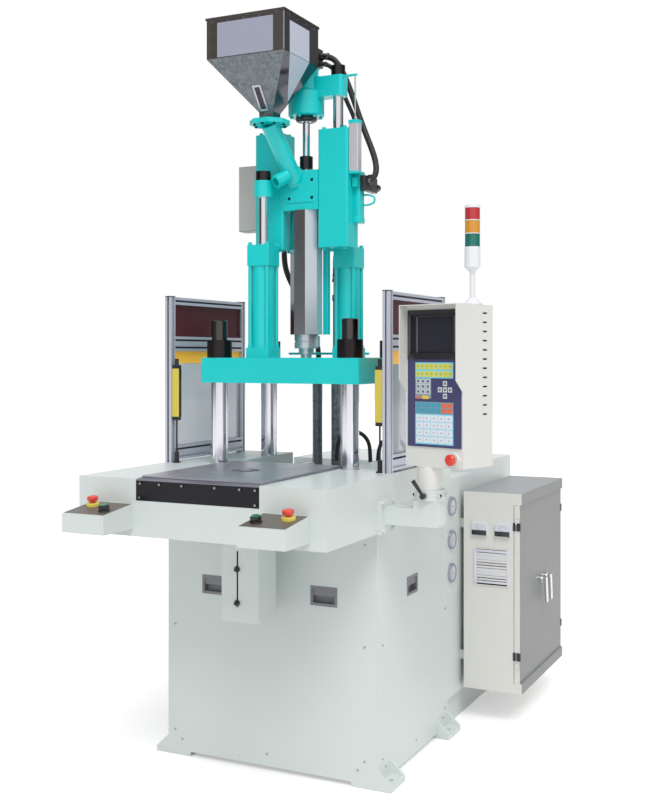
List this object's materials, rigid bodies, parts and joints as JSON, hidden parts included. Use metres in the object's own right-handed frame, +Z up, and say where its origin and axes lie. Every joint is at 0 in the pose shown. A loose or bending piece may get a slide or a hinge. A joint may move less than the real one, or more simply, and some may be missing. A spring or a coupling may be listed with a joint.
{
  "type": "vertical injection moulding machine",
  "caption": "Upright injection moulding machine: a vertical clamp over a shuttle table, a hopper-fed injection unit on top, a swivelling control panel and an electric cabinet.",
  "frame": {"origin": "on the floor, at the centre of the four anchor bolts", "axes": "+Z up, -Y towards the operator at the shuttle table, +X towards the control panel and the electric cabinet"},
  "size_m": [1.386, 2.36, 2.915],
  "materials": {
    "bare_steel": "machined",
    "black_paint": "satin",
    "black_plastic": "satin",
    "black_plate": "gloss",
    "body_paint": "satin",
    "cabinet_paint": "satin",
    "clear_sheet": "clear",
    "galvanised": "galvanised",
    "gauge_case": "polished",
    "green_plastic": "gloss",
    "grey_plastic": "matte",
    "guard_aluminium": "anodised",
    "hard_chrome": "polished",
    "hose_rubber": "matte",
    "keypad": "satin",
    "lamp_plastic": "gloss",
    "red_plastic": "gloss",
    "stainless": "brushed",
    "tank_paint": "satin",
    "turquoise_paint": "gloss",
    "yellow_case": "satin"
  },
  "bodies": {
    "machine": {"base_frame": "body_paint", "base_panels": "body_paint", "gauges": "gauge_case", "oil_tank": "tank_paint", "rear_housing": "body_paint", "pump_motor": "turquoise_paint", "lower_platen": "body_paint", "clamp_cylinder": "turquoise_paint", "slide_bed": "body_paint", "table_covers": "body_paint", "front_apron": "body_paint", "front_cover_plate": "black_plate", "ejector_box": "body_paint", "control_boxes": "body_paint", "guard_frames": "guard_aluminium", "guard_panes": "clear_sheet", "light_curtains": "yellow_case", "panel_arm": "body_paint", "electric_cabinet": "cabinet_paint", "cabinet_backplate": "galvanised", "deck_hoses": "hose_rubber"},
    "clamp": {"upper_platen": "turquoise_paint", "tie_bars": "hard_chrome", "tie_bar_nuts": "black_paint", "pull_plate": "turquoise_paint", "carriage_cylinders": "turquoise_paint", "riser_tubes": "galvanised", "carriage_hoses": "hose_rubber"},
    "carriage": {"carriage_rods": "hard_chrome", "injection_cylinders": "turquoise_paint", "feed_block": "turquoise_paint", "barrel": "bare_steel", "barrel_cover": "stainless", "nozzle": "bare_steel", "feed_chute": "turquoise_paint", "hopper": "stainless", "transducer": "black_plastic", "junction_box": "grey_plastic", "valve_block": "turquoise_paint", "motor_hoses": "hose_rubber"},
    "injection": {"injection_crosshead": "turquoise_paint", "injection_rods": "hard_chrome", "hydraulic_motor": "black_paint"},
    "screw": {"screw": "hard_chrome"},
    "table": {"slide_table": "bare_steel"},
    "ejector": {"ejector_rod": "hard_chrome"},
    "stop": {"stroke_stop": "bare_steel"},
    "panel": {"control_case": "cabinet_paint", "control_face": "keypad", "tower_light": "lamp_plastic"},
    "panel_stop": {"emergency_stop_panel": "red_plastic"},
    "lever": {"clamp_lever": "black_plastic"},
    "stop_left": {"emergency_stop_left": "red_plastic"},
    "stop_right": {"emergency_stop_right": "red_plastic"},
    "start_left": {"start_button_left": "green_plastic"},
    "start_right": {"start_button_right": "green_plastic"},
    "door_front": {"cabinet_door_front": "cabinet_paint"},
    "door_rear": {"cabinet_door_rear": "cabinet_paint"},
    "handle_front": {"door_handle_front": "gauge_case"},
    "handle_rear": {"door_handle_rear": "gauge_case"}
  },
  "joints": [
    {"name": "clamp_stroke", "type": "slide", "parent": "machine", "child": "clamp", "axis": [0, 0, 1], "range_m": [-0.2, 0]},
    {"name": "carriage_stroke", "type": "slide", "parent": "clamp", "child": "carriage", "axis": [0, 0, 1], "range_m": [0, 0.15], "deforming": ["carriage_hoses"]},
    {"name": "injection_stroke", "type": "slide", "parent": "carriage", "child": "injection", "axis": [0, 0, 1], "range_m": [0, 0.15], "deforming": ["motor_hoses"]},
    {"name": "screw_turn", "type": "hinge", "parent": "injection", "child": "screw", "pos_m": [0, -0.057, 2.4], "axis": [0, 0, 1], "continuous": true},
    {"name": "table_stroke", "type": "slide", "parent": "machine", "child": "table", "axis": [0, 1, 0], "range_m": [0, 0.495]},
    {"name": "ejector_stroke", "type": "slide", "parent": "machine", "child": "ejector", "axis": [0, 0, 1], "range_m": [0, 0.06]},
    {"name": "stop_setting", "type": "slide", "parent": "machine", "child": "stop", "axis": [0, 0, 1], "range_m": [0, 0.08]},
    {"name": "panel_turn", "type": "hinge", "parent": "machine", "child": "panel", "pos_m": [0.668, -0.392, 1.1], "axis": [0, 0, 1], "range_deg": [-45, 45]},
    {"name": "panel_stop_press", "type": "slide", "parent": "panel", "child": "panel_stop", "axis": [-0.2924, -0.9563, 0], "range_m": [-0.005, 0]},
    {"name": "lever_turn", "type": "hinge", "parent": "machine", "child": "lever", "pos_m": [0.668, -0.45, 1.102], "axis": [0, 1, 0], "range_deg": [-60, 60]},
    {"name": "stop_left_press", "type": "slide", "parent": "machine", "child": "stop_left", "axis": [0, -0.1226, 0.9925], "range_m": [-0.005, 0]},
    {"name": "stop_right_press", "type": "slide", "parent": "machine", "child": "stop_right", "axis": [0, -0.1226, 0.9925], "range_m": [-0.005, 0]},
    {"name": "start_left_press", "type": "slide", "parent": "machine", "child": "start_left", "axis": [0, -0.1226, 0.9925], "range_m": [-0.004, 0], "stiffness_N_per_m": 1500},
    {"name": "start_right_press", "type": "slide", "parent": "machine", "child": "start_right", "axis": [0, -0.1226, 0.9925], "range_m": [-0.004, 0], "stiffness_N_per_m": 1500},
    {"name": "door_front_swing", "type": "hinge", "parent": "machine", "child": "door_front", "pos_m": [0.729, 0.525, 0.573], "axis": [0, 0, 1], "range_deg": [-110, 0]},
    {"name": "door_rear_swing", "type": "hinge", "parent": "machine", "child": "door_rear", "pos_m": [0.729, 1.217, 0.573], "axis": [0, 0, 1], "range_deg": [0, 110]},
    {"name": "handle_front_turn", "type": "hinge", "parent": "door_front", "child": "handle_front", "pos_m": [0.74, 0.833, 0.585], "axis": [1, 0, 0], "range_deg": [-90, 0]},
    {"name": "handle_rear_turn", "type": "hinge", "parent": "door_rear", "child": "handle_rear", "pos_m": [0.74, 0.909, 0.585], "axis": [1, 0, 0], "range_deg": [0, 90]}
  ]
}
